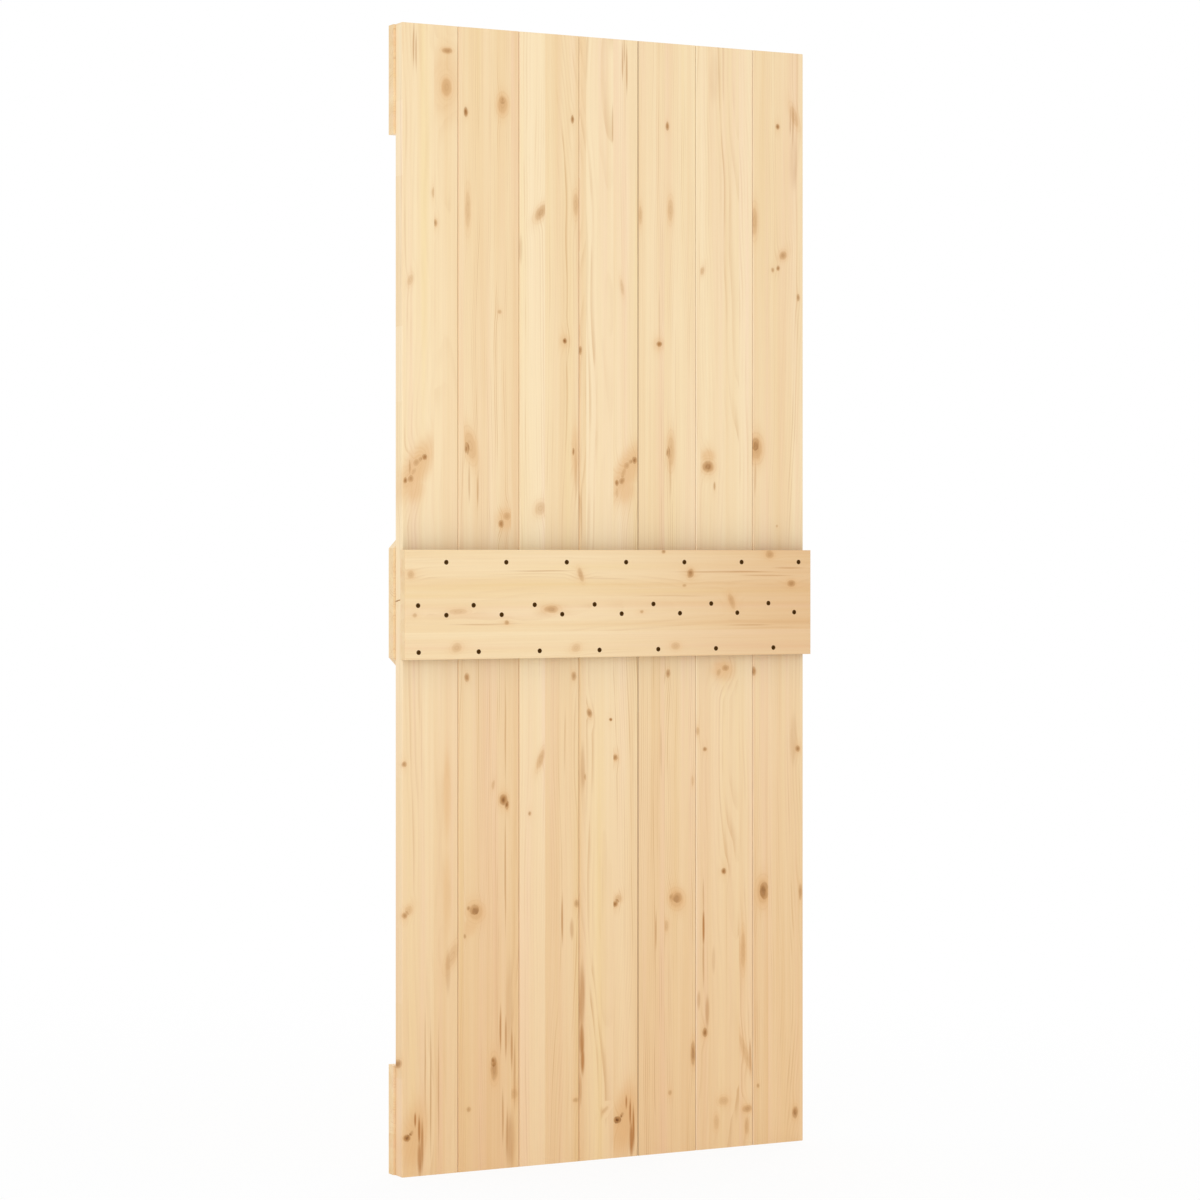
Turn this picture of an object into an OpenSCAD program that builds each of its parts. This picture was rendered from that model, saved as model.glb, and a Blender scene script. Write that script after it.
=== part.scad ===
// Solid timber door leaf for a sliding door.
// Seven upright tongue-and-groove boards are held flat by rails fixed across them: three rails and two
// diagonal braces on the side that hangs against the wall, and one rail screwed across the middle of
// the other side.
//
// Frame, in millimetres: the origin is the centre of the top rail's outer face, +Y points out of that
// face, +Z is up and +X runs across the leaf. The boards lie behind the rail, towards -Y.

/* [Leaf] */
// Width across all the boards
leaf_w = 850; // [650:5:1250]
// Height of the boards
leaf_h = 2100; // [1800:10:2600]

/* [Boards] */
// Thickness of a board
board_t = 30; // [22:1:45]
// Width of each outer board; the inner ones share what is left of the leaf's width
outer_board_w = 112.5; // [80:0.5:140]
// Open seam left between the faces of two boards
seam_gap = 0.8; // [0.4:0.1:2]
// Chamfer along the upright arrises of a board
board_ease = 1.4; // [0.6:0.1:3]
// How far a tongue stands into the next board
tongue_l = 9; // [5:0.5:12]
// Thickness of a tongue at its root
tongue_root_t = 9; // [8:0.5:12]
// Thickness of a tongue at its tip
tongue_tip_t = 7; // [5:0.5:8]
// Play between a tongue's flank and its groove
groove_play = 0.2; // [0.1:0.05:0.5]
// Room between a tongue's tip and the bottom of its groove
groove_room = 1; // [0.5:0.1:2]

/* [Rails] */
// Height of a rail
rail_h = 200; // [120:5:240]
// Thickness of a rail
rail_t = 22; // [16:1:30]
// How far each end of a rail stands past the boards
rail_over = 4; // [0:0.5:10]
// Chamfer along the arrises of a rail's outer face
rail_ease = 1.2; // [0.6:0.1:4]
// Height of the middle rail's centre above the leaf's lower end
middle_rail_up = 1044; // [700:1:1200]
// Height of the back rail's centre above the leaf's lower end
back_rail_up = 1041; // [700:1:1200]

/* [Braces] */
// Length of a brace's mitred end, measured along the rail it stands on
brace_cut = 153; // [90:1:240]
// Thickness of a brace
brace_t = 22; // [16:1:22]

/* [Screw holes] */
// Width of the bore that takes a screw's head
head_d = 9; // [6:0.5:11]
// Depth of the bore that takes a screw's head
head_depth = 3; // [1.5:0.5:6]
// Width of the hole that a screw's shank passes through
shank_d = 4.5; // [3:0.5:5]

/* [Hidden] */
// Widths of the boards
board_n = 7;
inner_board_n = board_n - 2;
inner_board_w = (leaf_w - 2 * outer_board_w) / inner_board_n;

// Distances from the wall side to the room side
boards_front_y = -rail_t;
boards_back_y = boards_front_y - board_t;
boards_middle_y = boards_front_y - board_t / 2;

// Heights
leaf_bottom_z = rail_h / 2 - leaf_h;
bottom_rail_z = leaf_bottom_z + rail_h / 2;
middle_rail_z = leaf_bottom_z + middle_rail_up;
back_rail_z = leaf_bottom_z + back_rail_up;

// The groove that a tongue stands in, its flanks parallel to the tongue's
flank_slope = (tongue_root_t - tongue_tip_t) / tongue_l;
groove_depth = tongue_l + groove_room;
groove_mouth_t = tongue_root_t + 2 * groove_play;
groove_floor_t = groove_mouth_t - groove_depth * flank_slope;

// Length of a rail
rail_l = leaf_w + 2 * rail_over;

// The back rail's screws: each board has one in each of four rows. A row's height is a share of the
// rail's height above its centre, and a screw's place is a share of the board's width past its middle.
screw_row_shares = [0.386, -0.007, -0.096, -0.433];
first_board_screw_shares = [0.195, -0.308, 0.196, -0.298];
inner_board_screw_shares = [0.2, -0.333, 0.124, -0.25];
last_board_screw_shares = [0.292, -0.306, 0.205, -0.207];

// Overrun that lets a cut pass clean through a surface, and the fineness of the round holes
through = 1;
hole_sides = 48;

board_timber = [0.91, 0.77, 0.56];
rail_timber = [0.93, 0.8, 0.6];

function board_w(i) = (i == 0 || i == board_n - 1) ? outer_board_w : inner_board_w;
function board_left_x(i) = -leaf_w / 2 + (i == 0 ? 0 : outer_board_w + (i - 1) * inner_board_w);
function board_middle_x(i) = board_left_x(i) + board_w(i) / 2;
function board_screw_shares(i) =
    i == 0 ? first_board_screw_shares
    : i == board_n - 1 ? last_board_screw_shares
    : inner_board_screw_shares;

// Section of a board between its two shoulders, with all four arrises chamfered
module board_blank(w) {
    half_w = w / 2;
    half_t = board_t / 2;
    polygon([
        [-half_w + board_ease, -half_t], [half_w - board_ease, -half_t],
        [half_w, -half_t + board_ease], [half_w, half_t - board_ease],
        [half_w - board_ease, half_t], [-half_w + board_ease, half_t],
        [-half_w, half_t - board_ease], [-half_w, -half_t + board_ease]
    ]);
}

// Tapered outline of a tongue or a groove that starts at x = 0 and runs towards +X
module tongue_outline(depth, root_t, tip_t) {
    polygon([
        [-through, -root_t / 2], [0, -root_t / 2], [depth, -tip_t / 2],
        [depth, tip_t / 2], [0, root_t / 2], [-through, root_t / 2]
    ]);
}

// Section of board number i: a groove on the left except on the first board, and a tongue on the
// right except on the last. The leaf's two outer edges are planed flat.
module board_section(i) {
    left_gap = i == 0 ? 0 : seam_gap / 2;
    right_gap = i == board_n - 1 ? 0 : seam_gap / 2;
    w = board_w(i) - left_gap - right_gap;
    shoulder_x = w / 2;
    translate([board_middle_x(i) + (left_gap - right_gap) / 2, 0])
        difference() {
            union() {
                board_blank(w);
                if (i < board_n - 1)
                    translate([shoulder_x, 0])
                        tongue_outline(tongue_l + seam_gap, tongue_root_t, tongue_tip_t);
            }
            if (i > 0)
                translate([-shoulder_x, 0])
                    tongue_outline(groove_depth, groove_mouth_t, groove_floor_t);
        }
}

// One full-height board
module board(i) {
    color(board_timber)
        translate([0, boards_middle_y, leaf_bottom_z])
            linear_extrude(height = leaf_h)
                board_section(i);
}

// Block along X that planes a chamfer off an arris on the X axis. The arris lies between an outer face
// that looks to +Y and an edge that looks to +Z where side is 1, or to -Z where it is -1. The block
// overruns the chamfer all round.
module arris_plane(l, side) {
    rotate([side * 45, 0, 0])
        translate([-l / 2, -rail_ease / sqrt(2), -rail_ease])
            cube([l, 2 * rail_ease, 2 * rail_ease]);
}

// Rail lying along X and centred on the origin, with its inner face at y = 0 and its outer face at
// y = rail_t, chamfered all round the outer face
module rail_body() {
    difference() {
        translate([-rail_l / 2, 0, -rail_h / 2])
            cube([rail_l, rail_t, rail_h]);
        for (up = [-1, 1])
            translate([0, rail_t, up * rail_h / 2])
                arris_plane(2 * rail_l, up);
        for (side = [-1, 1])
            translate([side * rail_l / 2, rail_t, 0])
                rotate([0, 90, 0])
                    arris_plane(2 * rail_h, side);
    }
}

// Rail on the wall side, centred at height z
module front_rail(z) {
    color(rail_timber)
        translate([0, boards_front_y, z])
            rail_body();
}

// Hole for one screw, entering the outer face at y = rail_t: a wide bore for its head and a narrow one
// right through for its shank
module screw_hole() {
    translate([0, rail_t + through, 0])
        rotate([90, 0, 0])
            cylinder(h = head_depth + through, d = head_d, $fn = hole_sides);
    translate([0, rail_t, 0])
        rotate([90, 0, 0])
            cylinder(h = rail_t + through, d = shank_d, $fn = hole_sides);
}

// The back rail's screw holes, cut before the rail is turned about to face -Y, so left and right are
// swapped here
module screw_holes() {
    for (i = [0 : board_n - 1])
        for (row = [0 : len(screw_row_shares) - 1])
            translate([
                -board_middle_x(i) - board_w(i) * board_screw_shares(i)[row],
                0,
                rail_h * screw_row_shares[row]
            ])
                screw_hole();
}

// Flat outline of a brace that climbs from the left end of one rail to the right end of another, with
// both ends mitred flat against the rails
module brace_outline(rise) {
    half_l = rail_l / 2;
    polygon([
        [-half_l, 0], [-half_l + brace_cut, 0],
        [half_l, rise], [half_l - brace_cut, rise]
    ]);
}

// Brace with its lower end at z = 0 and its inner face at y = 0, its two long arrises chamfered on the
// outer face
module brace_body(rise) {
    slope = atan2(rise, rail_l - brace_cut);
    difference() {
        rotate([90, 0, 0])
            translate([0, 0, -brace_t])
                linear_extrude(height = brace_t)
                    brace_outline(rise);
        for (side = [-1, 1])
            translate([-rail_l / 2 + (side < 0 ? brace_cut : 0), brace_t, 0])
                rotate([0, -slope, 0])
                    arris_plane(4 * rail_l, side);
    }
}

module board_1() {
    board(0);
}

module board_2() {
    board(1);
}

module board_3() {
    board(2);
}

module board_4() {
    board(3);
}

module board_5() {
    board(4);
}

module board_6() {
    board(5);
}

module board_7() {
    board(6);
}

module top_rail() {
    front_rail(0);
}

module middle_rail() {
    front_rail(middle_rail_z);
}

module bottom_rail() {
    front_rail(bottom_rail_z);
}

// Brace between the middle rail and the top rail
module upper_brace() {
    low_z = middle_rail_z + rail_h / 2;
    high_z = -rail_h / 2;
    color(rail_timber)
        translate([0, boards_front_y, low_z])
            brace_body(high_z - low_z);
}

// Brace between the middle rail and the bottom rail, turned over from the upper one
module lower_brace() {
    high_z = middle_rail_z - rail_h / 2;
    low_z = bottom_rail_z + rail_h / 2;
    color(rail_timber)
        translate([0, boards_front_y, high_z])
            mirror([0, 0, 1])
                brace_body(high_z - low_z);
}

// Rail across the middle of the other side, screwed to every board
module back_rail() {
    color(rail_timber)
        translate([0, boards_back_y, back_rail_z])
            rotate([0, 0, 180])
                difference() {
                    rail_body();
                    screw_holes();
                }
}

board_1();
board_2();
board_3();
board_4();
board_5();
board_6();
board_7();
top_rail();
middle_rail();
bottom_rail();
upper_brace();
lower_brace();
back_rail();
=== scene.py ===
import math

import bpy
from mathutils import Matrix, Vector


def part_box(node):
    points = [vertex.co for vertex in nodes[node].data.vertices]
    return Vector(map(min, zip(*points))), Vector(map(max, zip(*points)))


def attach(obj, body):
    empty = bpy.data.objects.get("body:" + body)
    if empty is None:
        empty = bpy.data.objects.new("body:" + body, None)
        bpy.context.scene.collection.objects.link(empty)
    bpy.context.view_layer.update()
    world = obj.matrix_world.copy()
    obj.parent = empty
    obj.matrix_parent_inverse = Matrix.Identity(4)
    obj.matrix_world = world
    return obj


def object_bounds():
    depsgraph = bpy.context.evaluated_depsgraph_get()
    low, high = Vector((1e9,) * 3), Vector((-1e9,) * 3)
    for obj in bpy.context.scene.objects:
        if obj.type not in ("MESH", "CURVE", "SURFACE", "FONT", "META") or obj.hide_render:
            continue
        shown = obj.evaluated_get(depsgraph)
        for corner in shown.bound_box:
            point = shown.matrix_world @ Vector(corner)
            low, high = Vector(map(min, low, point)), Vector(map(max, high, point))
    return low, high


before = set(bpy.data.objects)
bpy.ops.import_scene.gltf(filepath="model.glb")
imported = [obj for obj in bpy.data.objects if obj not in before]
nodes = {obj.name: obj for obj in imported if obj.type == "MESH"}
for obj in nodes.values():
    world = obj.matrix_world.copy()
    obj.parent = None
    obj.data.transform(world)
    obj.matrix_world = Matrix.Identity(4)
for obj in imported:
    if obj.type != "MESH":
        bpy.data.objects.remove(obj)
cad_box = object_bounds()

# The upright boards. Each is planed pine, glued up from strips of different trees and joined to the
# next by a tongue, so tone, ring pattern and knots change from strip to strip. Nothing covers them
# but a thin clear satin.

MM = 0.001


class Grain:
    """A socket of a material or a tree of nodes. Its operators add Math nodes to that tree."""

    def __init__(self, tree, socket=None):
        self.tree, self.socket = tree, socket

    def node(self, kind, settings=None, sockets=None, out=0):
        made = self.tree.nodes.new(kind)
        for name, value in (settings or {}).items():
            setattr(made, name, value)
        for key, value in (sockets or {}).items():
            if isinstance(value, Grain):
                self.tree.links.new(value.socket, made.inputs[key])
            else:
                made.inputs[key].default_value = value
        return Grain(self.tree, made.outputs[out] if len(made.outputs) else None)

    def maths(self, operation, *values):
        return self.node("ShaderNodeMath", {"operation": operation}, dict(enumerate(values)))

    def __add__(self, other):
        return self.maths("ADD", self, other)

    def __radd__(self, other):
        return self.maths("ADD", other, self)

    def __sub__(self, other):
        return self.maths("SUBTRACT", self, other)

    def __rsub__(self, other):
        return self.maths("SUBTRACT", other, self)

    def __mul__(self, other):
        return self.maths("MULTIPLY", self, other)

    def __rmul__(self, other):
        return self.maths("MULTIPLY", other, self)

    def __truediv__(self, other):
        return self.maths("DIVIDE", self, other)

    def __pow__(self, other):
        return self.maths("POWER", self, other)

    def __gt__(self, other):
        return self.maths("GREATER_THAN", self, other)

    def __lt__(self, other):
        return self.maths("LESS_THAN", self, other)

    def __abs__(self):
        return self.maths("ABSOLUTE", self)

    def larger(self, other):
        return self.maths("MAXIMUM", self, other)

    def smaller(self, other):
        return self.maths("MINIMUM", self, other)

    def ease(self, start, end, low=0.0, high=1.0):
        """Smooth change from low at start to high at end, held outside them."""
        return self.node(
            "ShaderNodeMapRange",
            {"interpolation_type": "SMOOTHSTEP"},
            {0: self, 1: start, 2: end, 3: low, 4: high},
        )

    def xyz(self, x, y, z):
        return self.node("ShaderNodeCombineXYZ", None, {0: x, 1: y, 2: z})

    def parts(self):
        """The three numbers of a vector or colour."""
        split = self.node("ShaderNodeSeparateXYZ", None, {0: self})
        outputs = split.socket.node.outputs
        return [Grain(self.tree, outputs[i]) for i in range(3)]

    def stretch(self, x, y, z):
        return self.node(
            "ShaderNodeVectorMath", {"operation": "MULTIPLY"}, {0: self, 1: (x, y, z)}
        )

    def moved(self, other):
        return self.node("ShaderNodeVectorMath", {"operation": "ADD"}, {0: self, 1: other})

    def swing(self, amount):
        """A noise of 0 to 1 as a change of up to half of amount either way."""
        return (self - 0.5) * amount

    def sway(self, x, y, z):
        """A noise colour as a push of up to half of these lengths either way."""
        return self.moved((-0.5, -0.5, -0.5)).stretch(x, y, z)

    def far(self):
        return self.node("ShaderNodeVectorMath", {"operation": "LENGTH"}, {0: self}, out="Value")

    def choose(self, first, second):
        """A vector: first where this mask is 0, second where it is 1."""
        sockets = {0: self, 4: first, 5: second}
        return self.node("ShaderNodeMix", {"data_type": "VECTOR"}, sockets, out=1)

    def tint(self, first, second, way="MIX"):
        """A colour: first where this mask is 0, blended to second where it is 1."""
        settings = {"data_type": "RGBA", "blend_type": way}
        return self.node("ShaderNodeMix", settings, {0: self, 6: first, 7: second}, out=2)

    def dimmed(self, scale):
        """A colour times a plain number."""
        sockets = {0: self, "Scale": scale}
        return self.node("ShaderNodeVectorMath", {"operation": "SCALE"}, sockets)

    def noise(self, scale=1.0, detail=2.0, roughness=0.5, out=0):
        sockets = {"Vector": self, "Scale": scale, "Detail": detail, "Roughness": roughness}
        return self.node("ShaderNodeTexNoise", {"noise_dimensions": "3D"}, sockets, out=out)

    def chance(self, out="Value"):
        """A chance number, or colour, for each value of this one."""
        settings = {"noise_dimensions": "1D"}
        return self.node("ShaderNodeTexWhiteNoise", settings, {"W": self}, out=out)

    def seen_from(self, place, turn, halves):
        """This point as a place with its own centre and turn sees it, in halves of its size."""
        sockets = {"Vector": self, "Location": place, "Rotation": turn, "Scale": halves}
        return self.node("ShaderNodeMapping", {"vector_type": "TEXTURE"}, sockets)


PALE_PINE = (0.975, 0.800, 0.528, 1.0)
WARM_PINE = (0.845, 0.590, 0.306, 1.0)
BLUSHED = (1.0, 0.955, 1.03, 1.0)
YELLOWED = (1.0, 1.01, 0.90, 1.0)
LATE_WOOD = (0.66, 0.385, 0.17, 1.0)
KNOT_HALO = (0.785, 0.470, 0.215, 1.0)
KNOT_WOOD = (0.520, 0.262, 0.090, 1.0)
KNOT_DARK = (0.190, 0.068, 0.014, 1.0)
RESIN = (0.500, 0.225, 0.070, 1.0)
END_GRAIN = (0.90, 0.80, 0.66, 1.0)
# Low on the boards: partly a warmer tone of the wood, partly painted shade darker towards the foot
LOWER_TONE_AND_SHADE = (0.922, 0.830, 0.750, 1.0)
# Painted shade on the boards over and under the back rail
OVER_RAIL_SHADE = (0.715, 0.745, 0.795, 1.0)
UNDER_RAIL_SHADE = (0.825, 0.880, 0.955, 1.0)
# Painted shade on the edge at a seam
PAINTED_SEAM_SHADE = (0.42, 0.41, 0.42, 1.0)
# Painted light on the edge at a seam
PAINTED_SEAM_LIGHT = (0.99, 0.90, 0.70, 1.0)
SATIN = {"IOR": 1.42, "Specular IOR Level": 0.28}

# Past any knot or streak, in whatever unit is asked for
FAR_OFF = 9.0

# A knot's amber halo reaches this many of its halves, and this much further in mm
HALO_HALVES = (1.9, 2.3)
HALO_SPARE = (3.0, 12.0)

# How far out in its halo a knot pushes the rings aside, and by how many rings: so many for its
# amber and so many for each mm of its half width
PUSH_REACH = (1.6, 0.0)
PUSH_BY_AMBER, PUSH_BY_WIDTH = 0.8, 0.07

# Its amber fades out over the halo and, more strongly, close round the rim, with these two shares
HALO_REACH, HALO_SHARE = (1.3, 0.1), 0.46
RIM_REACH, RIM_SHARE = (2.3, 0.8), 0.54

# The knot's own colour ends between these, counted in its halves from its centre
KNOT_REACH = (2.0, 1.7)


def knots_of_strip(start, organic, knots):
    """What the knots of one strip do at a point: how far they push the rings, how strong the amber
    round them is and how dark they are, and then how near the nearest is, as 1 at its rim. A knot
    of no darkness is only a patch of amber wood."""
    swell = glow = dark = 0.0
    rim = FAR_OFF
    for across, along, half_w, half_l, darkness, amber, lean in knots:
        centre = (across * MM, 0.0, along * MM)
        halves = (half_w * MM, FAR_OFF, half_l * MM)
        place = organic.seen_from(centre, (0.0, math.radians(lean), 0.0), halves)
        halo_w = half_w * HALO_HALVES[0] + HALO_SPARE[0]
        halo_l = half_l * HALO_HALVES[1] + HALO_SPARE[1]
        halo = place.stretch(half_w / halo_w, 0.0, half_l / halo_l).far()
        near = place.far()
        most_push = amber * PUSH_BY_AMBER + half_w * PUSH_BY_WIDTH
        swell = swell + halo.ease(*PUSH_REACH, 0.0, most_push)
        outer_amber = halo.ease(*HALO_REACH, 0.0, HALO_SHARE * amber)
        inner_amber = near.ease(*RIM_REACH, 0.0, RIM_SHARE * amber)
        glow = (outer_amber + inner_amber).larger(glow)
        if darkness:
            dark = near.ease(*KNOT_REACH, 0.0, darkness).larger(dark)
            rim = near.smaller(rim)
    return start.xyz(swell, glow, dark), start.xyz(rim, 0.0, 0.0)


# Past the last strip in mm, and the step between the places in the noise that strips are cut from
NO_MORE_STRIPS = 1e5
STRIP_STEP = 3.7


def own_strip(start, across, organic, strips, knots, seed):
    """The strip that a point lies in: where its pith lay and how wide its rings are, then its tone,
    blush and place in the noise, and then what its knots do."""
    ends = [strip[0] for strip in strips[1:]] + [NO_MORE_STRIPS]
    of_strips = []
    for number, (strip, end) in enumerate(zip(strips, ends)):
        left, pith_across, pith_into, ring, depth, blush = strip
        own_knots = [knot for knot in knots if left <= knot[0] < end]
        of_strips.append(
            (
                start.xyz(pith_across * MM, pith_into * MM, ring * MM),
                start.xyz(depth, blush, seed + number * STRIP_STEP),
                *knots_of_strip(start, organic, own_knots),
            )
        )
    here = of_strips[0]
    for strip, own in zip(strips[1:], of_strips[1:]):
        past = across > strip[0] * MM
        here = [past.choose(before, after) for before, after in zip(here, own)]
    return here


# How far a resin streak strays from a straight line, how often that changes in a metre, and how
# much larger and stronger it starts than it looks, because it fades towards its edge
STREAK_STRAY = (4.0 * MM, 0.0, 0.0)
STREAK_BENDS = 9
STREAK_SPREAD = (1.5, 1.1)
STREAK_SPARE = 0.8
STREAK_GAIN = 1.2
STREAK_EDGE = (1.0, 0.3)


def resin_streaks(wood, wander, resin):
    """How strong the resin-soaked streaks along the grain are at a point, from 0 to 1."""
    slender = wood.moved(wander.sway(*STREAK_STRAY))
    soaked = None
    for across, along, half_w, half_l, strength in resin:
        centre = (across * MM, 0.0, along * MM)
        spread_w = half_w * STREAK_SPREAD[0] + STREAK_SPARE
        halves = (spread_w * MM, FAR_OFF, half_l * STREAK_SPREAD[1] * MM)
        place = slender.seen_from(centre, (0.0, 0.0, 0.0), halves)
        streak = place.far().ease(*STREAK_EDGE, 0.0, strength * STREAK_GAIN)
        soaked = streak if soaked is None else soaked.larger(streak)
    return soaked


# The painted shade beside a rail fades over this length, and a seam's painted shade or painted
# light is on faces that look this squarely to the left
RAIL_SHADE_FADE = 28 * MM
SEAM_SQUARELY = (-0.5, -0.7)


def shaded_tone(colour, along, sideways, side_face, deepens, shaded, seam):
    """The colour as it deepens along the grain, with painted shade beside a rail and painted shade
    or painted light on the edge at a seam.
    """
    if deepens:
        pale_end, deep_end, deep_tone, strength = deepens
        deepening = along.ease(pale_end, deep_end, 0.0, strength)
        colour = deepening.tint(colour, deep_tone, "MULTIPLY")
    # Painted shade on the boards beside the back rail, darker over it than under it, not on their
    # sides
    if shaded:
        middle, half = shaded
        beside = along.maths("EXPONENT", (half - abs(along - middle)) / RAIL_SHADE_FADE)
        beside = beside.smaller(1.0) * (1.0 - side_face)
        over = along > middle
        colour = (beside * over).tint(colour, OVER_RAIL_SHADE, "MULTIPLY")
        colour = (beside * (1.0 - over)).tint(colour, UNDER_RAIL_SHADE, "MULTIPLY")
    # Painted shade (a darker tone) or painted light (a paler one) on the edge that looks into a
    # seam
    if seam:
        seam_tone, strength, way = seam
        colour = sideways.ease(*SEAM_SQUARELY, 0.0, strength).tint(colour, seam_tone, way)
    return colour


# A knot grows slantwise through the board: so much across and along the grain for each mm of depth
KNOT_SLANT = (-0.25, 0.15)

# How far a knot's outline strays from a clean ellipse
KNOT_STRAY = (3.2 * MM, 0.0, 4.2 * MM)

# The clouds of noise that the wood's figure is made of: how many changes there are a metre across
# the grain and along it, and then detail and roughness
SHAKES = (150, 75, 2.5, 0.6)
BANDS = (34, 0.8, 2.0, 0.55)
STREAKS = (150, 1.5, 2.5, 0.6)
RIPPLES = (24, 2.6, 2.0, 0.5)
FADES = (75, 6.5, 1.5, 0.5)
FIBRES = (720, 11, 2.0, 0.6)

# How far the pith wanders across and into the wood, how often that changes in a metre of tree, and
# how far its rings ripple
PITH_WANDER = (50 * MM, 70 * MM)
PITH_BENDS = 1.3
RING_RIPPLE = 10 * MM

# How clear the rings are: from this to this value of a cloud, they go from so clear to so clear.
# Amber round a knot shows them at least this strongly
CLEAR_BANDS = (0.36, 0.68, 0.16, 0.85)
CLEAR_FADES = (0.36, 0.62, 0.2, 1.25)
CLEAR_AT_KNOT = 0.85

# Late wood sets in and ends between these parts of a ring, and is at least this strong and at most
# so much stronger
LATE_RISE = (0.30, 0.90)
LATE_DROP = (1.0, 0.92)
LATE_LEAST, LATE_MORE = 0.14, 0.66

# How squarely a face has to look to the side, or along the grain, to count as a side or an end
SQUARELY = (0.6, 0.8)

# How many pieces of timber a metre a board's sides show, how much they differ in tone and blush,
# and how much paler and more blushed than the face they all are
OFFCUTS = 7.3
OFFCUT_TONES, OFFCUT_BLUSHES = 0.55, 0.7
SIDE_PALER, SIDE_BLUSH = 0.18, 0.35

# How much bands and streaks differ in tone and blush, the depths of tone that are all pale and all
# warm, and the blush at which the wood is all blushed
BAND_TONES, BAND_BLUSHES = 1.05, 3.0
STREAK_TONES = 0.60
TONE_RANGE = (-0.35, 1.35)
FULL_BLUSH = 1.1

# How strongly late wood is drawn, and the strongest of the streaks
LATE_DRAWN = 0.80
STREAKS_DRAWN = (0.62, 0.84, 0.0, 0.34)

# The fibres' light and dark, the flecks among them, and how strong the sawn ends' tone is
FIBRE_LOW, FIBRE_MORE = 0.968, 0.062
FLECKS, FLECK_DEPTH = (0.66, 0.80), 0.05
END_TONE = 0.30

# How strongly the amber round a knot is drawn, and how strongly the rings in it. Counted in the
# knot's halves, these are their width, the part of it that is drawn and how far out they show
HALO_TONE, KNOT_RINGS_TONE = 0.74, 0.26
KNOT_RING = 0.34
KNOT_RING_DRAWN, KNOT_RINGS_OUT = (0.20, 0.34), (3.2, 1.4)

# Resin is broken up by the same cloud that makes the rings fade
RESIN_FADES = (0.25, 0.60, 0.6, 1.15)

# A knot's core with its own rings, the dark traces of bark round it and its heart, counted in its
# halves from its centre, and how strong they are. Bark and heart are dark in patches
CORE_REACH, CORE_RING = (1.48, 0.45), 0.21
CORE_LEAST, CORE_BY_DARKNESS, CORE_RINGS_TONE = 0.22, 1.02, 0.45
BARK_IN, BARK_OUT, BARK_TONE = (0.70, 0.95), (1.35, 1.0), 0.42
HEART_REACH, HEART_LEAST, HEART_MORE = (0.88, 0.15), 0.50, 0.62
PATCHES = (0.38, 0.62)

# The bumps of late wood and fibres, and how rough the satin is over them
RELIEF_STRENGTH, RELIEF_DEPTH = 0.22, 0.6 * MM
LATE_RELIEF, FIBRE_RELIEF = 0.35, 0.5
ROUGH_LEAST, ROUGH_MORE = 0.52, 0.12


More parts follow.
